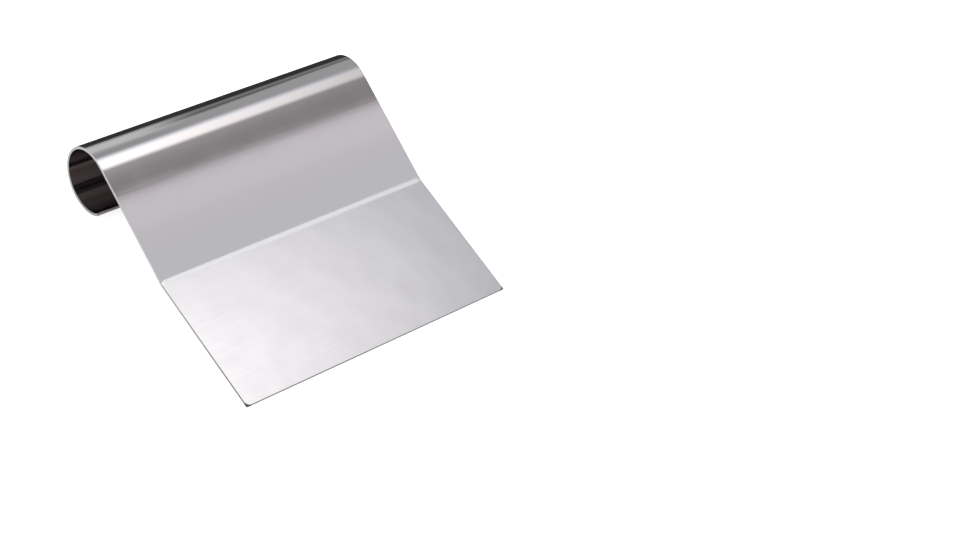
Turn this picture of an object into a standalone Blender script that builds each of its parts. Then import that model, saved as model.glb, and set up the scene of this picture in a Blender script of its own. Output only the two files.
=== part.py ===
"""Bench scraper made of one stainless sheet: a flat blade, a shallow crease and a handle rolled from the same sheet.

The sheet is drawn as its profile in the Y-Z plane, from the cutting edge at -Y to the free edge of the roll at +Y,
and carried along X. It rests on the lower corner of its cutting edge and on the underside of the roll.
"""

import math

import bpy

# Driving dimensions, in metres and radians
SHEET = 0.001
WIDTH = 0.120
BLADE_LENGTH = 0.0545
PANEL_LENGTH = 0.0465
CREASE_ANGLE = math.radians(14.25)
CREASE_RADIUS = 0.008
ROLL_RADIUS = 0.013
ROLL_SWEEP = math.radians(244)
CORNER_RADIUS = 0.0008

# How finely the round stretches are faceted
CREASE_STEPS = 4
ROLL_STEPS = 44
CORNER_STEPS = 3
SHARP_ANGLE = math.radians(30)

# Bright cold-rolled stainless
STEEL_COLOUR = (0.66, 0.65, 0.66, 1.0)
STEEL_ROUGHNESS = 0.28
STEEL_METALLIC = 1.0

CORNER_GROUP = "blade_corners"


def clear_scene():
    for obj in list(bpy.data.objects):
        bpy.data.objects.remove(obj, do_unlink=True)


def new_collection(name):
    collection = bpy.data.collections.new(name)
    bpy.context.scene.collection.children.link(collection)
    return collection


def steel_material():
    material = bpy.data.materials.new("bright_stainless")
    material.use_nodes = True
    shader = material.node_tree.nodes["Principled BSDF"]
    shader.inputs["Base Color"].default_value = STEEL_COLOUR
    shader.inputs["Roughness"].default_value = STEEL_ROUGHNESS
    shader.inputs["Metallic"].default_value = STEEL_METALLIC
    return material


def arc(centre, radius, start, sweep, steps):
    """Points on a circle, as (y, z), from the angle start through sweep."""
    angles = (start + sweep * i / steps for i in range(steps + 1))
    return [(centre[0] + radius * math.cos(a), centre[1] + radius * math.sin(a)) for a in angles]


def roll_centre():
    """Centre of the roll as (y, z), with the sharp corner of the crease at zero and the blade along -Y."""
    along_y, along_z = math.cos(CREASE_ANGLE), math.sin(CREASE_ANGLE)
    return (
        PANEL_LENGTH * along_y + ROLL_RADIUS * along_z,
        PANEL_LENGTH * along_z - ROLL_RADIUS * along_y,
    )


def upper_profile():
    """The sheet's upper surface as (y, z) points, from the cutting edge to the free edge of the roll."""
    tangent = CREASE_RADIUS * math.tan(CREASE_ANGLE / 2)
    crease = arc((-tangent, CREASE_RADIUS), CREASE_RADIUS, -math.pi / 2, CREASE_ANGLE, CREASE_STEPS)
    roll = arc(roll_centre(), ROLL_RADIUS, math.pi / 2 + CREASE_ANGLE, -ROLL_SWEEP, ROLL_STEPS)
    return [(-BLADE_LENGTH, 0.0), *crease, *roll]


def rest_tilt():
    """How far the blade leans up from the bench when the cutting edge and the roll both touch it."""
    to_centre_y = roll_centre()[0] + BLADE_LENGTH
    to_centre_z = roll_centre()[1] + SHEET
    reach = math.hypot(to_centre_y, to_centre_z)
    return math.asin(ROLL_RADIUS / reach) - math.atan2(to_centre_z, to_centre_y)


def turned(point, angle):
    y, z = point
    return y * math.cos(angle) - z * math.sin(angle), y * math.sin(angle) + z * math.cos(angle)


def resting_profile():
    """The profile turned onto the bench, with the middle of its depth over zero and its lowest line at zero height."""
    tilt = rest_tilt()
    front = turned((-BLADE_LENGTH, 0.0), tilt)[0]
    back = turned(roll_centre(), tilt)[0] + ROLL_RADIUS
    floor = turned((-BLADE_LENGTH, -SHEET), tilt)[1]
    middle = (front + back) / 2
    return [(y - middle, z - floor) for y, z in (turned(p, tilt) for p in upper_profile())]


def profile_mesh():
    """The upper surface's profile as a chain of edges, at the left side of the sheet."""
    points = [(-WIDTH / 2, y, z) for y, z in resting_profile()]
    mesh = bpy.data.meshes.new("sheet_profile")
    mesh.from_pydata(points, [(i, i + 1) for i in range(len(points) - 1)], [])
    return mesh


def carry_across_width(obj):
    """Carries the profile to the right side. A Screw with no turn is a straight extrusion."""
    carry = obj.modifiers.new("sheet_width", "SCREW")
    carry.axis = "X"
    carry.angle = 0
    carry.screw_offset = WIDTH
    carry.steps = carry.render_steps = 1
    carry.use_normal_flip = True


def blunt_corners(obj):
    """Rounds the outline at the two ends of the cutting edge, which grow from the profile's first point."""
    obj.vertex_groups.new(name=CORNER_GROUP).add([0], 1.0, "REPLACE")
    bevel = obj.modifiers.new("blunt_corners", "BEVEL")
    bevel.affect = "VERTICES"
    bevel.limit_method = "VGROUP"
    bevel.vertex_group = CORNER_GROUP
    bevel.width = CORNER_RADIUS
    bevel.segments = CORNER_STEPS


def add_gauge(obj):
    """Gives the upper surface the sheet's thickness, on its under side."""
    gauge = obj.modifiers.new("sheet_gauge", "SOLIDIFY")
    gauge.thickness = SHEET
    gauge.offset = -1
    gauge.use_even_offset = True


def apply_modifiers(obj):
    evaluated = obj.evaluated_get(bpy.context.evaluated_depsgraph_get())
    mesh = bpy.data.meshes.new_from_object(evaluated)
    obj.modifiers.clear()
    obj.vertex_groups.clear()
    obj.data = mesh


def make_scraper_sheet(collection):
    obj = bpy.data.objects.new("scraper_sheet", profile_mesh())
    collection.objects.link(obj)
    carry_across_width(obj)
    blunt_corners(obj)
    add_gauge(obj)
    apply_modifiers(obj)
    obj.data.name = obj.name
    obj.data.shade_smooth()
    obj.data.set_sharp_from_angle(angle=SHARP_ANGLE)
    obj.data.materials.append(steel_material())


def main():
    clear_scene()
    make_scraper_sheet(new_collection("bench_scraper"))


main()
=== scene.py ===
import math

import bpy
from bpy.props import FloatProperty, FloatVectorProperty, PointerProperty
from bpy.types import Operator, Panel, PropertyGroup
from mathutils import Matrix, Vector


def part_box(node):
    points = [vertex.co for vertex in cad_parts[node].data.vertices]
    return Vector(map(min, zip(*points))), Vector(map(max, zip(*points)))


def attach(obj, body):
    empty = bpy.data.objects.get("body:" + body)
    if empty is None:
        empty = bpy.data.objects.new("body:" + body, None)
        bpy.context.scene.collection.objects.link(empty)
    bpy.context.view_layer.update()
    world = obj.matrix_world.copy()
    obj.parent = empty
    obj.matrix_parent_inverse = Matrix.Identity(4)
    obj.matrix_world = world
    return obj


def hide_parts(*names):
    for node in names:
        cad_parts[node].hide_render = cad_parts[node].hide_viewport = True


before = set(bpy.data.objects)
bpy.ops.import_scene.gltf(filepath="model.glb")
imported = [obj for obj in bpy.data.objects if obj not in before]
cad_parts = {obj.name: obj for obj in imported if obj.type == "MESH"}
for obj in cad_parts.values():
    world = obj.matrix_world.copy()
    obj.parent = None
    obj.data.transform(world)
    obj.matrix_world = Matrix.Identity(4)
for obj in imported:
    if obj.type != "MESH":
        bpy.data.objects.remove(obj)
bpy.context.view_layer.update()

bl_info = {
    "name": "Bench Scraper",
    "version": (1, 0, 0),
    "blender": (4, 5, 0),
    "location": "3D View > Sidebar > Scraper",
    "description": "A bench scraper creased and rolled from one sheet of bright stainless, with its studio",
    "category": "Object",
}

CAD_SHEET = "scraper_sheet"
SHEET_NAME = "rolled_sheet"
SHEET_MAP = "sheet_map"
CUT_EDGE = "cut_edge"
UNDER_SIDE = "under_side"

low_corner, high_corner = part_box(CAD_SHEET)

# How many faces each stretch of the blank is divided into
RIM_STEPS = 2
CORNER_STEPS = 3
WIDTH_STEPS = 24
BLADE_STEPS = 14
CREASE_STEPS = 20
PANEL_STEPS = 14
LEAD_STEPS = 8
ROLL_STEPS = 124

# Width of the rows beside each bend, which keep its shading off the flats
GUARD = 0.0003


# ---------------------------------------------------------------- sizes and finishes


class ScraperSizes(PropertyGroup):
    """The sheet's driving sizes."""

    width: FloatProperty(
        name="Width",
        description="Length of the cutting edge",
        default=high_corner.x - low_corner.x,
        min=0.02,
        subtype="DISTANCE",
        unit="LENGTH",
    )
    gauge: FloatProperty(
        name="Gauge",
        description="Thickness of the sheet",
        default=0.001,
        min=0.0004,
        subtype="DISTANCE",
        unit="LENGTH",
    )
    blade_length: FloatProperty(
        name="Blade Length",
        description="From the cutting edge to the corner of the crease",
        default=0.0545,
        min=0.01,
        subtype="DISTANCE",
        unit="LENGTH",
    )
    panel_length: FloatProperty(
        name="Panel Length",
        description="From the corner of the crease to the roll",
        default=0.0465,
        min=0.01,
        subtype="DISTANCE",
        unit="LENGTH",
    )
    crease_angle: FloatProperty(
        name="Crease Angle",
        description="How far the panel is bent up from the blade",
        default=math.radians(14.25),
        subtype="ANGLE",
        unit="ROTATION",
    )
    crease_radius: FloatProperty(
        name="Crease Radius",
        description="Inside radius of the crease",
        default=0.008,
        min=0.001,
        subtype="DISTANCE",
        unit="LENGTH",
    )
    lead_radius: FloatProperty(
        name="Lead-in Radius",
        description="Radius of the easy bend where the panel runs into the roll",
        default=0.040,
        min=0.014,
        subtype="DISTANCE",
        unit="LENGTH",
    )
    lead_angle: FloatProperty(
        name="Lead-in Angle",
        description="How far the easy bend turns before the roll proper",
        default=math.radians(4),
        subtype="ANGLE",
        unit="ROTATION",
    )
    roll_radius: FloatProperty(
        name="Roll Radius",
        description="Outside radius of the rolled handle",
        default=(high_corner.z - low_corner.z) / 2,
        min=0.004,
        subtype="DISTANCE",
        unit="LENGTH",
    )
    roll_sweep: FloatProperty(
        name="Roll Sweep",
        description="How far the handle turns from the panel to its free edge",
        default=math.radians(244),
        subtype="ANGLE",
        unit="ROTATION",
    )
    corner_radius: FloatProperty(
        name="Corner Radius",
        description="Rounding of the two ends of the cutting edge, seen from above",
        default=0.0003,
        subtype="DISTANCE",
        unit="LENGTH",
    )
    rim_radius: FloatProperty(
        name="Rim Radius",
        description="Deburring of the sheet's cut edges",
        default=0.00018,
        subtype="DISTANCE",
        unit="LENGTH",
    )


class SteelFinish(PropertyGroup):
    """The colours and finish of the stainless sheet."""

    colour: FloatVectorProperty(
        name="Steel",
        description="Colour of the bright sheet",
        default=(0.648, 0.632, 0.668),
        min=0.0,
        max=1.0,
        subtype="COLOR",
    )
    # Painted highlight: the handle's cut edge is coloured lighter than the steel, standing in for the light
    # it catches; the blade's cut edge below keeps about the steel's tone
    edge_colour_with_highlight: FloatVectorProperty(
        name="Cut Edge",
        description="Colour of the sheared edge",
        default=(0.84, 0.835, 0.845),
        min=0.0,
        max=1.0,
        subtype="COLOR",
    )
    blade_edge_colour: FloatVectorProperty(
        name="Blade Edge",
        description="Colour of the cut edge round the blade",
        default=(0.66, 0.66, 0.66),
        min=0.0,
        max=1.0,
        subtype="COLOR",
    )
    # Painted highlight: the line along the crease is coloured lighter than the steel, standing in for the
    # light that the bend catches
    crease_highlight_colour: FloatVectorProperty(
        name="Crease Highlight",
        description="Colour of the line that is painted as a highlight along the crease",
        default=(0.945, 0.94, 0.975),
        min=0.0,
        max=1.0,
        subtype="COLOR",
    )
    # Dark colour for the two ends of the cutting edge, outside a rounded corner
    dark_tip_colour: FloatVectorProperty(
        name="Dark Tips",
        description="Colour of the dark ends of the cutting edge",
        default=(0.16, 0.16, 0.165),
        min=0.0,
        max=1.0,
        subtype="COLOR",
    )
    blade_roughness: FloatProperty(
        name="Blade Roughness",
        description="Roughness of the satin blade",
        default=0.22,
        min=0.0,
        max=1.0,
        subtype="FACTOR",
    )
    handle_roughness: FloatProperty(
        name="Handle Roughness",
        description="Roughness of the bright panel and roll",
        default=0.06,
        min=0.0,
        max=1.0,
        subtype="FACTOR",
    )
    under_roughness: FloatProperty(
        name="Underside Roughness",
        description="Roughness of the mill finish on the underside and inside the roll",
        default=0.11,
        min=0.0,
        max=1.0,
        subtype="FACTOR",
    )


class StudioSetting(PropertyGroup):
    """The camera's lens and the floor's colour."""

    lens: FloatProperty(
        name="Lens",
        description="Focal length of the camera, in millimetres",
        default=80.78,
        min=10.0,
        unit="CAMERA",
    )
    floor_colour: FloatVectorProperty(
        name="Floor",
        description="Colour of the pale floor",
        default=(0.93, 0.93, 0.93),
        min=0.0,
        max=1.0,
        subtype="COLOR",
    )


# ---------------------------------------------------------------- node wiring


def wire(tree, kind, *values, **settings):
    """Adds a node, sets its settings, then links or sets its inputs in order."""
    node = tree.nodes.new(kind)
    for name, value in settings.items():
        setattr(node, name, value)
    for socket, value in zip(node.inputs, values):
        if isinstance(value, bpy.types.NodeSocket):
            tree.links.new(value, socket)
        elif value is not None:
            socket.default_value = value
    return node


def maths(tree, operation, *values):
    return wire(tree, "ShaderNodeMath", *values, operation=operation).outputs[0]


def vectors(tree, operation, *values):
    return wire(tree, "ShaderNodeVectorMath", *values, operation=operation).outputs[0]


def combine(tree, x, y, z):
    return wire(tree, "ShaderNodeCombineXYZ", x, y, z).outputs[0]


def separate(tree, vector):
    return wire(tree, "ShaderNodeSeparateXYZ", vector).outputs


def length_of(tree, x, y):
    across = combine(tree, x, y, 0.0)
    return wire(tree, "ShaderNodeVectorMath", across, operation="LENGTH").outputs["Value"]


def past(tree, value, limit):
    """How far value is over limit, or zero."""
    return maths(tree, "MAXIMUM", maths(tree, "SUBTRACT", value, limit), 0.0)


def ramp(tree, value, low, high, out_low=0.0, out_high=1.0, smooth=False):
    """Value carried from low..high to out_low..out_high, and held outside it."""
    shape = "SMOOTHSTEP" if smooth else "LINEAR"
    node = wire(
        tree, "ShaderNodeMapRange", value, low, high, out_low, out_high,
        interpolation_type=shape,
    )
    return node.outputs[0]


def band(tree, value, rise, fall):
    """1 between the two slopes, 0 outside them. Each slope is (start, end)."""
    return maths(
        tree, "MULTIPLY",
        ramp(tree, value, *rise, smooth=True),
        ramp(tree, value, *fall, 1.0, 0.0, smooth=True),
    )


def blended(tree, share, low, high):
    """The number low where share is 0, high where it is 1."""
    return wire(tree, "ShaderNodeMix", share, None, low, high, data_type="FLOAT").outputs[0]


def coloured(tree, share, low, high):
    """The colour low where share is 0, high where it is 1. Each is a socket or three numbers."""
    node = wire(tree, "ShaderNodeMix", share, data_type="RGBA")
    for socket, colour in zip([i for i in node.inputs if i.type == "RGBA"], (low, high)):
        if isinstance(colour, bpy.types.NodeSocket):
            tree.links.new(colour, socket)
        else:
            socket.default_value = (*colour, 1.0)
    return next(o for o in node.outputs if o.type == "RGBA")


def noise(tree, place, scale, detail):
    node = wire(tree, "ShaderNodeTexNoise", place)
    node.inputs["Scale"].default_value = scale
    node.inputs["Detail"].default_value = detail
    return node.outputs["Fac"]


def bumped(tree, height, strength, depth):
    node = wire(tree, "ShaderNodeBump")
    node.inputs["Strength"].default_value = strength
    node.inputs["Distance"].default_value = depth
    tree.links.new(height, node.inputs["Height"])
    return node


def stored(tree, geometry, name, kind, domain, value):
    """The geometry with value kept on it as a named attribute."""
    node = wire(
        tree, "GeometryNodeStoreNamedAttribute", geometry, data_type=kind, domain=domain
    )
    node.inputs["Name"].default_value = name
    tree.links.new(value, node.inputs["Value"])
    return node.outputs[0]


# ---------------------------------------------------------------- the sheet

# Keeps a division at a corner's centre from dividing by zero
NEARLY_ZERO = 1e-9


def stretches(sizes):
    """The sheet's upper surface, from the cutting edge on: (length, curvature) of each stretch."""
    tangent = sizes.crease_radius * math.tan(sizes.crease_angle / 2)
    lead_reach = (sizes.lead_radius - sizes.roll_radius) * math.sin(sizes.lead_angle)
    return [
        (sizes.blade_length - tangent, 0.0),
        (sizes.crease_radius * sizes.crease_angle, 1 / sizes.crease_radius),
        (sizes.panel_length - tangent - lead_reach, 0.0),
        (sizes.lead_radius * sizes.lead_angle, -1 / sizes.lead_radius),
        (sizes.roll_radius * (sizes.roll_sweep - sizes.lead_angle), -1 / sizes.roll_radius),
    ]


def roll_start(sizes):
    """(y, z, heading) where the roll proper starts. The cutting edge is at zero, the blade along +Y."""
    y = z = heading = 0.0
    for length, curvature in stretches(sizes)[:-1]:
        if curvature:
            turned = heading + length * curvature
            y += (math.sin(turned) - math.sin(heading)) / curvature
            z += (math.cos(heading) - math.cos(turned)) / curvature
            heading = turned
        else:
            y += length * math.cos(heading)
            z += length * math.sin(heading)
    return y, z, heading


def rest_place(sizes):
    """(lean, y, z) that stand the sheet on its cutting edge and its roll, its back where the CAD's is."""
    y, z, heading = roll_start(sizes)
    centre_y = y + sizes.roll_radius * math.sin(heading)
    centre_z = z - sizes.roll_radius * math.cos(heading)
    rim_y, rim_z = sizes.rim_radius, sizes.rim_radius - sizes.gauge
    across, up = centre_y - rim_y, centre_z - rim_z
    rise = sizes.roll_radius - sizes.rim_radius
    lean = math.asin(rise / math.hypot(across, up)) - math.atan2(up, across)
    back = centre_y * math.cos(lean) - centre_z * math.sin(lean) + sizes.roll_radius
    bottom = centre_y * math.sin(lean) + centre_z * math.cos(lean) - sizes.roll_radius
    return lean, high_corner.y - back, low_corner.z - bottom


def ladder(tree, index, rungs):
    """Distance reached at a whole-number index, where each rung is (steps, length)."""
    reached, first = None, 0
    for steps, length in rungs:
        part = ramp(tree, index, first, first + steps, 0.0, length)
        reached = part if reached is None else maths(tree, "ADD", reached, part)
        first += steps
    return reached


def count(rungs):
    return sum(rung[0] for rung in rungs)


def sheet_tree(sizes):
    """Geometry Nodes: a flat blank with a deburred rim, creased and rolled along its length."""
    tree = bpy.data.node_groups.new("Rolled Sheet", "GeometryNodeTree")
    tree.interface.new_socket("Geometry", in_out="OUTPUT", socket_type="NodeSocketGeometry")
    names = (
        "Width", "Gauge", "Blade Flat", "Crease Length", "Crease Curvature", "Panel Flat",
        "Lead Length", "Lead Curvature", "Roll Length", "Roll Curvature", "Corner Radius",
        "Rim Radius", "Lean", "Shift Y", "Shift Z",
    )
    for name in names:
        tree.interface.new_socket(name, in_out="INPUT", socket_type="NodeSocketFloat")
    tree.interface.new_socket("Steel", in_out="INPUT", socket_type="NodeSocketMaterial")
    given = tree.nodes.new("NodeGroupInput").outputs
    width, gauge, rim, corner = (
        given["Width"], given["Gauge"], given["Rim Radius"], given["Corner Radius"]
    )

    def less(a, b):
        return maths(tree, "SUBTRACT", a, b)

    def more(a, b):
        return maths(tree, "ADD", a, b)

    def times(a, b):
        return maths(tree, "MULTIPLY", a, b)

    # The blank's rows: closer at the rim, at the corners and along the bends
    corner_run = less(corner, rim)
    across = [
        (RIM_STEPS, rim),
        (CORNER_STEPS, corner_run),
        (WIDTH_STEPS, less(width, times(corner, 2.0))),
        (CORNER_STEPS, corner_run),
        (RIM_STEPS, rim),
    ]
    along = [
        (RIM_STEPS, rim),
        (CORNER_STEPS, corner_run),
        (BLADE_STEPS, less(given["Blade Flat"], more(corner, GUARD))),
        (1, GUARD),
        (CREASE_STEPS, given["Crease Length"]),
        (1, GUARD),
        (PANEL_STEPS, less(given["Panel Flat"], 2 * GUARD)),
        (1, GUARD),
        (LEAD_STEPS, given["Lead Length"]),
        (ROLL_STEPS, less(given["Roll Length"], rim)),
        (RIM_STEPS, rim),
    ]
    through = [(RIM_STEPS, rim), (1, less(gauge, times(rim, 2.0))), (RIM_STEPS, rim)]
    steps = [count(across), count(along), count(through)]
    block = wire(
        tree, "GeometryNodeMeshCube", tuple(float(n) for n in steps), *(n + 1 for n in steps)
    )
    position = tree.nodes.new("GeometryNodeInputPosition").outputs[0]
    index = separate(tree, vectors(tree, "ADD", position, tuple(n / 2 for n in steps)))
    half_width = times(width, 0.5)
    flat = combine(
        tree,
        less(ladder(tree, index[0], across), half_width),
        ladder(tree, index[1], along),
        less(ladder(tree, index[2], through), gauge),
    )

    # The rim's rounding: each point keeps the rim radius from a block that much smaller
    total = more(
        more(given["Blade Flat"], given["Crease Length"]),
        more(given["Panel Flat"], more(given["Lead Length"], given["Roll Length"])),
    )
    inner_low = combine(tree, less(rim, half_width), rim, less(rim, gauge))
    inner_high = combine(tree, less(half_width, rim), less(total, rim), times(rim, -1.0))
    inner = vectors(tree, "MINIMUM", vectors(tree, "MAXIMUM", flat, inner_low), inner_high)
    outward = vectors(tree, "NORMALIZE", vectors(tree, "SUBTRACT", flat, inner))
    scaled = wire(tree, "ShaderNodeVectorMath", outward, operation="SCALE")
    tree.links.new(rim, scaled.inputs["Scale"])
    rounded = separate(tree, vectors(tree, "ADD", inner, scaled.outputs[0]))

    # The two corners of the cutting edge: squares of the blank drawn in to quarter discs
    side = maths(tree, "SIGN", rounded[0])
    out_x = past(tree, maths(tree, "ABSOLUTE", rounded[0]), less(half_width, corner))
    out_y = past(tree, corner, rounded[1])
    reach = maths(tree, "SQRT", more(times(out_x, out_x), times(out_y, out_y)))
    square = maths(tree, "MAXIMUM", out_x, out_y)
    drawn = less(1.0, maths(tree, "DIVIDE", square, maths(tree, "MAXIMUM", reach, NEARLY_ZERO)))
    x = less(rounded[0], times(side, times(out_x, drawn)))
    s = more(rounded[1], times(out_y, drawn))

    # The bends: each stretch adds its straight run or its arc to the place reached so far
    bends = (
        ("Blade Flat", None),
        ("Crease Length", "Crease Curvature"),
        ("Panel Flat", None),
        ("Lead Length", "Lead Curvature"),
        ("Roll Length", "Roll Curvature"),
    )
    y = z = heading = start = turn_before = 0.0
    for length, curvature in bends:
        run = maths(tree, "MINIMUM", past(tree, s, start), given[length])
        sine, cosine = maths(tree, "SINE", turn_before), maths(tree, "COSINE", turn_before)
        if curvature:
            curve = given[curvature]
            turned = more(turn_before, times(run, curve))
            y_run = maths(tree, "DIVIDE", less(maths(tree, "SINE", turned), sine), curve)
            z_run = maths(tree, "DIVIDE", less(cosine, maths(tree, "COSINE", turned)), curve)
            heading = more(heading, times(run, curve))
            turn_before = more(turn_before, times(given[length], curve))
        else:
            y_run, z_run = times(run, cosine), times(run, sine)
        y, z, start = more(y, y_run), more(z, z_run), more(start, given[length])
    y = less(y, times(rounded[2], maths(tree, "SINE", heading)))
    z = more(z, times(rounded[2], maths(tree, "COSINE", heading)))

    # Leaned onto the bench
    bent = combine(tree, x, y, z)
    leaned = wire(tree, "ShaderNodeVectorRotate", bent, rotation_type="X_AXIS")
    tree.links.new(given["Lean"], leaned.inputs["Angle"])
    placed = vectors(
        tree, "ADD", leaned.outputs[0], combine(tree, 0.0, given["Shift Y"], given["Shift Z"])
    )

    # The place on the blank, the share of cut edge and the side of the sheet are kept for the steel
    rim_way = separate(tree, outward)
    under = maths(tree, "LESS_THAN", rounded[2], times(gauge, -0.5))
    mapped = stored(
        tree, block.outputs[0], SHEET_MAP, "FLOAT2", "CORNER", combine(tree, x, s, 0.0)
    )
    edged = stored(
        tree, mapped, CUT_EDGE, "FLOAT", "POINT", length_of(tree, rim_way[0], rim_way[1])
    )
    sided = stored(tree, edged, UNDER_SIDE, "FLOAT", "POINT", under)
    moved = wire(tree, "GeometryNodeSetPosition", sided)
    tree.links.new(placed, moved.inputs["Position"])
    smooth = wire(tree, "GeometryNodeSetShadeSmooth", moved.outputs[0])
    real = wire(tree, "GeometryNodeRealizeInstances", smooth.outputs[0])
    steel = wire(tree, "GeometryNodeSetMaterial", real.outputs[0])
    tree.links.new(given["Steel"], steel.inputs["Material"])
    wire(tree, "NodeGroupOutput", steel.outputs[0])
    return tree


def set_inputs(modifier, values):
    """Sets a Geometry Nodes modifier's inputs by name, through each socket's identifier."""
    for item in modifier.node_group.interface.items_tree:
        if item.item_type == "SOCKET" and item.in_out == "INPUT":
            modifier[item.identifier] = values[item.name]


def make_plain(obj):
    """Turns what the modifiers make into the object's own mesh."""
    evaluated = obj.evaluated_get(bpy.context.evaluated_depsgraph_get())
    mesh = bpy.data.meshes.new_from_object(evaluated)
    obj.modifiers.clear()
    obj.data = mesh
    mesh.name = obj.name


def make_rolled_sheet(sizes, material):
    """Makes the sheet, which stands in for the CAD's sheet."""
    obj = bpy.data.objects.new(SHEET_NAME, bpy.data.meshes.new(SHEET_NAME))
    bpy.context.scene.collection.objects.link(obj)
    bending = obj.modifiers.new("rolled_sheet", "NODES")
    bending.node_group = sheet_tree(sizes)
    lean, shift_y, shift_z = rest_place(sizes)
    blade, crease, panel, lead, roll = stretches(sizes)
    set_inputs(bending, {
        "Width": sizes.width,
        "Gauge": sizes.gauge,
        "Blade Flat": blade[0],
        "Crease Length": crease[0],
        "Crease Curvature": crease[1],
        "Panel Flat": panel[0],
        "Lead Length": lead[0],
        "Lead Curvature": lead[1],
        "Roll Length": roll[0],
        "Roll Curvature": roll[1],
        "Corner Radius": sizes.corner_radius,
        "Rim Radius": sizes.rim_radius,
        "Lean": lean,
        "Shift Y": shift_y,
        "Shift Z": shift_z,
        "Steel": material,
    })
    make_plain(obj)
    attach(obj, "root")
    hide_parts(CAD_SHEET)


# ---------------------------------------------------------------- the steel

# Radius of the bright face's corners, outside which the tips are coloured dark, and how it fades there
TIP_ROUND = 0.0025
TIP_FADE = (TIP_ROUND - 0.00005, TIP_ROUND + 0.00025)
TIP_ROUGHNESS = 0.5

# The painted highlight along the crease: how far it stops short of the sides, and how it fades beside the
# crease
CREASE_HIGHLIGHT_INSET = 0.0006
CREASE_HIGHLIGHT_FADE = (-0.0007, 0.0005)
CREASE_HIGHLIGHT_ROUGHNESS = 0.55

HANDLE_EDGE_ROUGHNESS = 0.65
BLADE_EDGE_ROUGHNESS = 0.35

# Noise on the flat blank, in cycles per metre, and how it varies the roughness
LINES_ALONG, LINES_ACROSS = 30.0, 2600.0
CLOUD_SCALE = 90.0
WAVE_SCALE = 55.0
FINE_DETAIL, WAVE_DETAIL = 3.0, 1.5
NOISE_RANGE = (0.2, 0.8)
ROUGHNESS_RANGE = (0.85, 1.15)

# How deep the blade's unevenness and the rolling lines are
WAVE_DEPTH = 0.00012
LINE_STRENGTH, LINE_DEPTH = 0.5, 0.000003


def steel_material(sizes, finish):
    """A satin blade, a bright panel and roll, and a duller underside, from one sheet."""
    material = bpy.data.materials.new("bright_stainless_sheet")
    material.use_nodes = True
    tree = material.node_tree
    shader = tree.nodes["Principled BSDF"]
    shader.inputs["Metallic"].default_value = 1.0
    place = wire(tree, "ShaderNodeUVMap", uv_map=SHEET_MAP).outputs[0]
    x, s, _ = separate(tree, place)
    blade, crease = stretches(sizes)[:2]
    blade_end, crease_end = blade[0], blade[0] + crease[0]
    satin = ramp(tree, s, blade_end, crease_end, 1.0, 0.0)
    side = maths(tree, "ABSOLUTE", x)
    half_width = sizes.width / 2

    # A painted highlight runs along the crease, lighter than the steel, with rounded ends just short of the
    # sides
    middle, reach = (blade_end + crease_end) / 2, (crease_end - blade_end) / 2
    off_line = length_of(
        tree,
        past(tree, side, half_width - CREASE_HIGHLIGHT_INSET - reach),
        maths(tree, "SUBTRACT", s, middle),
    )
    fade_start, fade_end = (reach + step for step in CREASE_HIGHLIGHT_FADE)
    painted_crease_highlight = ramp(tree, off_line, fade_start, fade_end, 1.0, 0.0, smooth=True)

    # The two ends of the cutting edge are coloured dark, outside a rounded corner
    off_corner = length_of(
        tree, past(tree, side, half_width - TIP_ROUND), past(tree, TIP_ROUND, s)
    )
    tip = ramp(tree, off_corner, *TIP_FADE, smooth=True)
    edge = wire(tree, "ShaderNodeAttribute", attribute_name=CUT_EDGE).outputs["Fac"]
    under = wire(tree, "ShaderNodeAttribute", attribute_name=UNDER_SIDE).outputs["Fac"]

    # Rolling lines run along the cutting edge, under cloudy patches
    drawn_out = combine(
        tree, maths(tree, "MULTIPLY", x, LINES_ALONG), maths(tree, "MULTIPLY", s, LINES_ACROSS), 0.0
    )
    lines = noise(tree, drawn_out, 1.0, FINE_DETAIL)
    clouds = noise(tree, place, CLOUD_SCALE, FINE_DETAIL)
    rough = ramp(tree, satin, 0.0, 1.0, finish.handle_roughness, finish.blade_roughness)
    rough = blended(tree, under, rough, finish.under_roughness)
    for pattern in (lines, clouds):
        rough = maths(
            tree, "MULTIPLY", rough, ramp(tree, pattern, *NOISE_RANGE, *ROUGHNESS_RANGE)
        )
    rough = blended(tree, painted_crease_highlight, rough, CREASE_HIGHLIGHT_ROUGHNESS)
    edge_rough = blended(tree, satin, HANDLE_EDGE_ROUGHNESS, BLADE_EDGE_ROUGHNESS)
    rough = blended(tree, edge, rough, edge_rough)
    rough = blended(tree, tip, rough, TIP_ROUGHNESS)
    tree.links.new(rough, shader.inputs["Roughness"])

    # The handle's cut edge carries a painted highlight, lighter than the steel and than the blade's cut
    # edge
    edge_colour_with_highlight = coloured(tree, satin, finish.edge_colour_with_highlight, finish.blade_edge_colour)
    # The line along the crease is a painted highlight
    colour = coloured(tree, painted_crease_highlight, finish.colour, finish.crease_highlight_colour)
    colour = coloured(tree, edge, colour, edge_colour_with_highlight)
    colour = coloured(tree, tip, colour, finish.dark_tip_colour)
    tree.links.new(colour, shader.inputs["Base Color"])

    # The blade is a little uneven from the press, and the whole sheet carries the rolling lines
    waves = noise(tree, place, WAVE_SCALE, WAVE_DETAIL)
    uneven = bumped(tree, maths(tree, "MULTIPLY", waves, satin), 1.0, WAVE_DEPTH)
    grained = bumped(tree, lines, LINE_STRENGTH, LINE_DEPTH)
    tree.links.new(uneven.outputs[0], grained.inputs["Normal"])
    tree.links.new(grained.outputs[0], shader.inputs["Normal"])
    return material


# ---------------------------------------------------------------- the studio

CAMERA_PLACE = (-0.42302, -0.35585, 0.56992)
CAMERA_TURN = (42.678, -16.336, -40.245)
FLOOR_SIZE = 12.0
FLOOR_LIFT = 0.80

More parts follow.
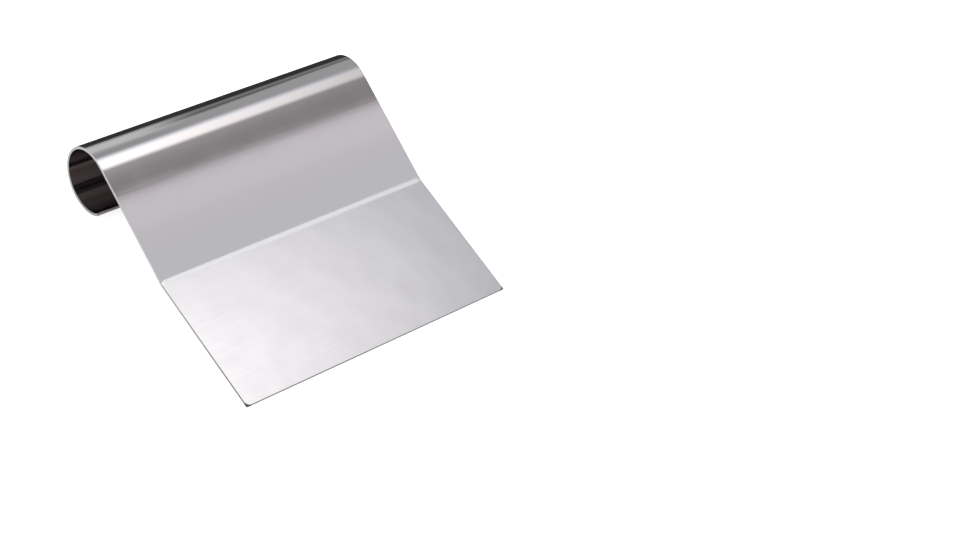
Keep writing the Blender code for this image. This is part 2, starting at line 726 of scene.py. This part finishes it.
# The floor as the steel reflects it: brightest left of the sheet, dark from the sheet's left side
# on, and darkest behind the roll. Distances are from the roll's back and the sheet's left side.
BEHIND_FADE = (0.005, 0.025)
BEHIND_SIDE_FADE = (-0.012, 0.0)
BELOW_FADE = (-0.012, 0.002)
LEFT_GLOW = (0.50, 0.50, 0.50)
BELOW_GLOW = (0.060, 0.045, 0.038)
BEHIND_GLOW = (0.0, 0.0, 0.0)
OPEN_SHADE = (0.38, 0.38, 0.38)
BEHIND_SHADE = (0.055, 0.055, 0.055)


def faded(tree, value, origin, fade):
    """0 to 1 over a fade that is measured from origin."""
    return ramp(tree, value, origin + fade[0], origin + fade[1], smooth=True)


def studio_floor(setting):
    """A plain pale floor, which the steel reflects as darker by place."""
    bpy.ops.mesh.primitive_plane_add(size=FLOOR_SIZE)
    floor = bpy.context.object
    floor.name = "studio_floor"
    material = bpy.data.materials.new("pale_floor")
    material.use_nodes = True
    tree = material.node_tree
    tree.nodes.clear()
    rays = wire(tree, "ShaderNodeLightPath").outputs
    pale = wire(tree, "ShaderNodeBsdfDiffuse", (*setting.floor_colour, 1.0))
    lift = wire(tree, "ShaderNodeEmission", (1.0, 1.0, 1.0, 1.0), FLOOR_LIFT)
    seen = wire(tree, "ShaderNodeAddShader", pale.outputs[0], lift.outputs[0])
    x, y, _ = separate(tree, wire(tree, "ShaderNodeTexCoord").outputs["Object"])
    behind = maths(
        tree, "MULTIPLY",
        faded(tree, y, high_corner.y, BEHIND_FADE),
        faded(tree, x, low_corner.x, BEHIND_SIDE_FADE),
    )
    below = faded(tree, x, low_corner.x, BELOW_FADE)
    glow = coloured(tree, behind, coloured(tree, below, LEFT_GLOW, BELOW_GLOW), BEHIND_GLOW)
    shade = coloured(tree, behind, OPEN_SHADE, BEHIND_SHADE)
    reflected = wire(
        tree, "ShaderNodeAddShader",
        wire(tree, "ShaderNodeBsdfDiffuse", shade).outputs[0],
        wire(tree, "ShaderNodeEmission", glow).outputs[0],
    )
    mixed = wire(
        tree, "ShaderNodeMixShader", rays["Is Camera Ray"], reflected.outputs[0], seen.outputs[0]
    )
    wire(tree, "ShaderNodeOutputMaterial", mixed.outputs[0])
    floor.data.materials.append(material)


# The room's light, by lift in degrees: 0 is the horizon behind the roll, 90 is overhead and 180
# the horizon in front. Other fades run over the direction's x or z. All are (start, end).

# The share of the light that is left lowest down behind
SKIRTING_FADE, SKIRTING = (2.0, 9.0), 0.42

# Behind, to the left: a softbox in a dimmer surround
BOX_RISE, BOX_FALL = (4.0, 19.0), (33.0, 53.0)
SURROUND, BOX = 0.42, 0.74

# Behind, to the right: a dim wall with a faint strip, then a lighter wall over a slanting edge
SPLIT_FADE = (0.492, 0.518)
STRIP_RISE, STRIP_FALL = (6.0, 11.0), (16.5, 20.5)
DIM_WALL, STRIP = 0.16, 0.26
SLANT_SIDEWAYS, SLANT_LIFT, SLANT_SOFT = (0.515, 0.577), (33.5, 24.5), 5.0
LIGHT_WALL_GAIN = 0.30

# Overhead and in front
OVERHEAD_FADE, OVERHEAD = (60.0, 92.0), 0.285
FRONT_FADE, FRONT = (104.0, 140.0), 0.55

# The wall on the left, with a softbox half way up, and the light from below the horizon
LEFT_FADE = (0.05, -0.55)
LEFT_RISE, LEFT_FALL = (0.25, 0.50), (0.60, 0.74)
LEFT_WALL, LEFT_BOX = 0.42, 1.15
HORIZON_FADE, UNDERFOOT = (-0.02, 0.0), 0.08

# Tints on the right, by lift: neutral low down, cooler high up and a little warm overhead
TINT_FADE = (0.10, 0.38)
COOL, WARM, NEUTRAL = (0.94, 1.0, 1.08), (1.07, 1.0, 0.97), (1.0, 1.0, 1.0)
TINTS = (
    (62.0, (1.0, 1.0, 0.96)), (71.0, COOL), (79.0, COOL), (86.0, WARM), (98.0, WARM), (112.0, NEUTRAL),
)
FULL_LIFT = 180.0


def studio_world():
    """Soft light from all round, by the direction that it comes from."""
    world = bpy.data.worlds.new("studio")
    bpy.context.scene.world = world
    world.use_nodes = True
    tree = world.node_tree
    tree.nodes.clear()
    way = wire(tree, "ShaderNodeTexCoord").outputs["Generated"]
    x, y, z = separate(tree, way)
    lift = maths(tree, "MULTIPLY", maths(tree, "ARCTAN2", z, y), 180 / math.pi)

    slant = ramp(tree, x, *SLANT_SIDEWAYS, *SLANT_LIFT)
    wall = ramp(
        tree, lift,
        maths(tree, "SUBTRACT", slant, SLANT_SOFT), maths(tree, "ADD", slant, SLANT_SOFT),
        0.0, 1.0, smooth=True,
    )
    right = maths(
        tree, "ADD",
        ramp(tree, band(tree, lift, STRIP_RISE, STRIP_FALL), 0.0, 1.0, DIM_WALL, STRIP),
        ramp(tree, wall, 0.0, 1.0, 0.0, LIGHT_WALL_GAIN),
    )
    left = ramp(tree, band(tree, lift, BOX_RISE, BOX_FALL), 0.0, 1.0, SURROUND, BOX)
    light = blended(tree, ramp(tree, x, *SPLIT_FADE, smooth=True), left, right)
    light = maths(
        tree, "MULTIPLY", light, ramp(tree, lift, *SKIRTING_FADE, SKIRTING, 1.0, smooth=True)
    )
    light = blended(tree, ramp(tree, lift, *OVERHEAD_FADE, smooth=True), light, OVERHEAD)
    light = blended(tree, ramp(tree, lift, *FRONT_FADE, smooth=True), light, FRONT)
    left_wall = ramp(tree, band(tree, z, LEFT_RISE, LEFT_FALL), 0.0, 1.0, LEFT_WALL, LEFT_BOX)
    light = blended(tree, ramp(tree, x, *LEFT_FADE, smooth=True), light, left_wall)
    light = blended(tree, ramp(tree, z, *HORIZON_FADE), UNDERFOOT, light)

    tints = wire(tree, "ShaderNodeValToRGB", maths(tree, "DIVIDE", lift, FULL_LIFT))
    while len(tints.color_ramp.elements) < len(TINTS):
        tints.color_ramp.elements.new(0.5)
    for stop, (height, colour) in zip(tints.color_ramp.elements, TINTS):
        stop.position, stop.color = height / FULL_LIFT, (*colour, 1.0)
    to_right = ramp(tree, x, *TINT_FADE, smooth=True)
    tint = coloured(tree, to_right, NEUTRAL, tints.outputs[0])

    rays = wire(tree, "ShaderNodeLightPath").outputs
    seen = wire(tree, "ShaderNodeBackground", (1.0, 1.0, 1.0, 1.0), 1.0)
    reflected = wire(tree, "ShaderNodeBackground", tint, light)
    mixed = wire(
        tree, "ShaderNodeMixShader", rays["Is Camera Ray"], reflected.outputs[0], seen.outputs[0]
    )
    wire(tree, "ShaderNodeOutputWorld", mixed.outputs[0])


def softbox(name, centre, size, radiance, colour, fades=(0.0, 0.0, 0.0, 0.0)):
    """An area light hung level and facing down. Fades are the shares of its width and depth
    over which it dims towards its left, right, near and far edges."""
    light = bpy.data.lights.new(name, "AREA")
    light.shape = "RECTANGLE"
    light.size, light.size_y = size
    light.energy = radiance * math.pi * size[0] * size[1]
    light.color = colour
    light.use_nodes = True
    tree = light.node_tree
    across, deep, _ = separate(tree, wire(tree, "ShaderNodeNewGeometry").outputs["Parametric"])
    left, right, near, far = fades
    strength = 1.0
    for place, start, end, smooth in (
        (across, 0.0, left, False),
        (across, 1.0, 1.0 - right, False),
        (deep, 0.0, near, True),
        (deep, 1.0, 1.0 - far, True),
    ):
        if start != end:
            part = ramp(tree, place, start, end, smooth=smooth)
            strength = maths(tree, "MULTIPLY", strength, part)
    if any(fades):
        emission = next(node for node in tree.nodes if node.type == "EMISSION")
        tree.links.new(strength, emission.inputs["Strength"])
    obj = bpy.data.objects.new(name, light)
    bpy.context.scene.collection.objects.link(obj)
    obj.location = centre
    obj.visible_camera = False


def studio_lights():
    """A key light over the back, a fill over the front and a dim strip in the gap between them."""
    softbox(
        "front_softbox", centre=(0.25, -0.2460, 0.50), size=(0.9, 0.407), radiance=0.463,
        colour=(0.96, 1.0, 1.026),
    )
    softbox(
        "front_strip", centre=(0.25, -0.0585, 0.4995), size=(0.9, 0.032), radiance=0.085,
        colour=(1.15, 0.78, 0.70), fades=(0.0, 0.0, 0.6, 0.0),
    )
    softbox(
        "key_softbox", centre=(0.0875, 0.1325, 0.50), size=(0.895, 0.335), radiance=1.45,
        colour=(1.022, 1.0, 0.945), fades=(0.0, 0.379, 0.15, 0.64),
    )


def studio_camera(setting):
    camera = bpy.data.objects.new("camera", bpy.data.cameras.new("camera"))
    bpy.context.scene.collection.objects.link(camera)
    camera.location = CAMERA_PLACE
    camera.rotation_euler = [math.radians(a) for a in CAMERA_TURN]
    camera.data.lens = setting.lens
    bpy.context.scene.camera = camera


# ---------------------------------------------------------------- operators and panel


class SCRAPER_OT_rolled_sheet(Operator):
    """Make the creased and rolled sheet"""

    bl_idname = "scraper.rolled_sheet"
    bl_label = "Rolled Sheet"

    def execute(self, context):
        scene = context.scene
        material = steel_material(scene.scraper_sizes, scene.scraper_finish)
        make_rolled_sheet(scene.scraper_sizes, material)
        return {"FINISHED"}


class SCRAPER_OT_studio(Operator):
    """Make the pale floor, the soft lights and the camera"""

    bl_idname = "scraper.studio"
    bl_label = "Studio"

    def execute(self, context):
        setting = context.scene.scraper_studio
        context.scene.view_settings.view_transform = "Standard"
        studio_floor(setting)
        studio_world()
        studio_lights()
        studio_camera(setting)
        return {"FINISHED"}


class SCRAPER_PT_panel(Panel):
    """The scraper's pieces, sizes and studio"""

    bl_label = "Bench Scraper"
    bl_idname = "SCRAPER_PT_panel"
    bl_space_type = "VIEW_3D"
    bl_region_type = "UI"
    bl_category = "Scraper"

    def draw(self, context):
        layout = self.layout
        for settings in (
            context.scene.scraper_sizes,
            context.scene.scraper_finish,
            context.scene.scraper_studio,
        ):
            column = layout.column()
            for name in settings.__annotations__:
                column.prop(settings, name)
        layout.operator(SCRAPER_OT_rolled_sheet.bl_idname)
        layout.operator(SCRAPER_OT_studio.bl_idname)


CLASSES = (
    ScraperSizes,
    SteelFinish,
    StudioSetting,
    SCRAPER_OT_rolled_sheet,
    SCRAPER_OT_studio,
    SCRAPER_PT_panel,
)


def register():
    for cls in CLASSES:
        bpy.utils.register_class(cls)
    bpy.types.Scene.scraper_sizes = PointerProperty(type=ScraperSizes)
    bpy.types.Scene.scraper_finish = PointerProperty(type=SteelFinish)
    bpy.types.Scene.scraper_studio = PointerProperty(type=StudioSetting)


def unregister():
    del bpy.types.Scene.scraper_studio
    del bpy.types.Scene.scraper_finish
    del bpy.types.Scene.scraper_sizes
    for cls in reversed(CLASSES):
        bpy.utils.unregister_class(cls)


def main():
    register()
    bpy.ops.scraper.rolled_sheet()
    bpy.ops.scraper.studio()


if __name__ == "__main__":
    main()
